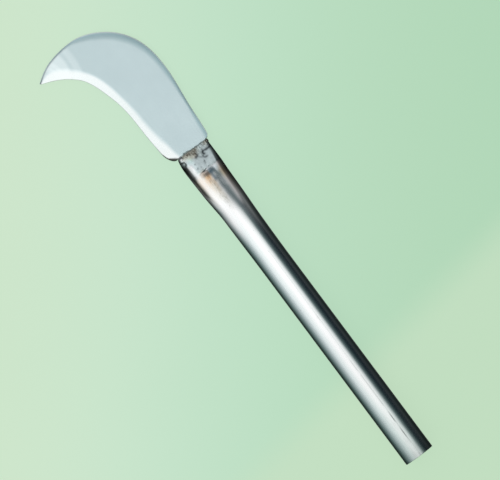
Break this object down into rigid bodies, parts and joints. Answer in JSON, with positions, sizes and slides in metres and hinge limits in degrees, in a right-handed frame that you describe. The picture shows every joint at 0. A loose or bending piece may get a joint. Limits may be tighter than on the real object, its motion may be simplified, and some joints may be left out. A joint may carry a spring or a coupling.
{
  "type": "hooked billhook",
  "caption": "Hooked billhook: a curved flat steel blade ground along its hollow inner edge, its tang gripped and welded in the pressed end of a straight open round steel tube handle.",
  "frame": {"origin": "centre of the tube handle's open butt end, on the tube's axis", "axes": "+X along the handle towards the blade; +Y towards the hollow, sharpened side of the hook; +Z square to the blade flat, towards the front face"},
  "size_m": [0.4253, 0.0879, 0.025],
  "materials": {
    "blade_steel": "flat-ground plate with a bright ground edge",
    "tube_steel": "bright drawn and polished, heat-tinted near the weld",
    "seam_steel": "scraped flush, slightly duller than the tube",
    "weld_metal": "rippled, oxide-covered weld bead"
  },
  "bodies": {
    "root": {"blade": "blade_steel", "handle_tube": "tube_steel", "tube_seam_weld": "seam_steel", "front_weld": "weld_metal", "back_weld": "weld_metal", "heel_side_weld": "weld_metal", "spine_side_weld": "weld_metal"}
  },
  "joints": []
}
